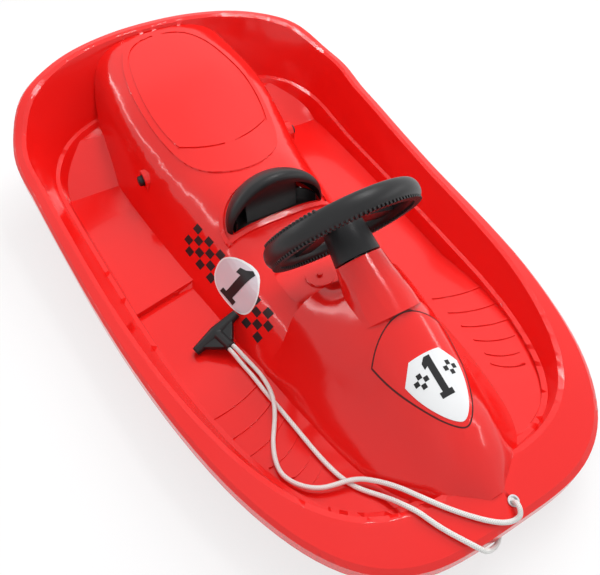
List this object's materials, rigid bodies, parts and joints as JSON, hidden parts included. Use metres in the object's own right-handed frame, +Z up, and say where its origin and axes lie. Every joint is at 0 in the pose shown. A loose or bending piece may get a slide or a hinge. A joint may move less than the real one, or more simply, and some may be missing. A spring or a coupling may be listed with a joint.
{
  "type": "steering sled",
  "caption": "Child's moulded steering sled with a raised seat hump, foot wells, a wheel that turns front skis, a pull-up claw brake and a tow cord.",
  "frame": {"origin": "centre of the hull's footprint at the height of the skis and runners' underside", "axes": "+X forward, +Y to the driver's left, +Z up"},
  "size_m": [0.9532, 0.5843, 0.3102],
  "materials": {
    "red_plastic": "glossy red moulding",
    "black_plastic": "satin black",
    "white_label": "smooth white film",
    "steel": "zinc plated",
    "white_cord": "braided cord"
  },
  "bodies": {
    "hull": {"hull": "red_plastic", "nose_hatch": "red_plastic", "hatch_label": "white_label", "side_label": "white_label", "dash_screw": "steel", "cord_eyelet": "steel", "column_bush_upper": "black_plastic", "column_bush_lower": "black_plastic", "kingpin_left": "steel", "kingpin_washer_left": "steel", "kingpin_right": "steel", "kingpin_washer_right": "steel", "axle_bush_left": "black_plastic", "axle_bush_right": "black_plastic", "brake_axle": "steel", "tow_handle": "black_plastic", "tow_cord": "white_cord"},
    "steering": {"steering_shaft": "steel", "column_sleeve": "black_plastic", "steering_wheel": "black_plastic", "wheel_bolt": "steel", "pitman_arm": "steel", "drive_pin": "steel"},
    "track": {"track_rod": "steel"},
    "ski_left": {"ski_left": "black_plastic", "ski_pin_left": "steel", "ski_clip_left": "steel"},
    "ski_right": {"ski_right": "black_plastic", "ski_pin_right": "steel", "ski_clip_right": "steel"},
    "brake": {"brake_lever": "black_plastic", "brake_claw": "steel", "claw_screws": "steel"}
  },
  "joints": [
    {"name": "steer", "type": "hinge", "parent": "hull", "child": "steering", "pos_m": [0.175, 0, 0.188], "axis": [-0.848, 0, 0.5299], "range_deg": [-45, 5]},
    {"name": "track_shift", "type": "slide", "parent": "hull", "child": "track", "axis": [0, -1, 0], "range_m": [-0.046, 0.006]},
    {"name": "ski_left_turn", "type": "hinge", "parent": "hull", "child": "ski_left", "pos_m": [0.29, 0.14, 0.02], "axis": [0, 0, 1], "range_deg": [-46, 6]},
    {"name": "ski_right_turn", "type": "hinge", "parent": "hull", "child": "ski_right", "pos_m": [0.29, -0.14, 0.02], "axis": [0, 0, 1], "range_deg": [-46, 6]},
    {"name": "brake_pull", "type": "hinge", "parent": "hull", "child": "brake", "pos_m": [-0.213, 0, 0.089], "axis": [0, -1, 0], "range_deg": [0, 9]}
  ],
  "couplings": [
    {"joint": "track_shift", "follows": "steer", "m_per_rad": 0.05647},
    {"joint": "ski_left_turn", "follows": "steer", "ratio": 1},
    {"joint": "ski_right_turn", "follows": "steer", "ratio": 1}
  ]
}
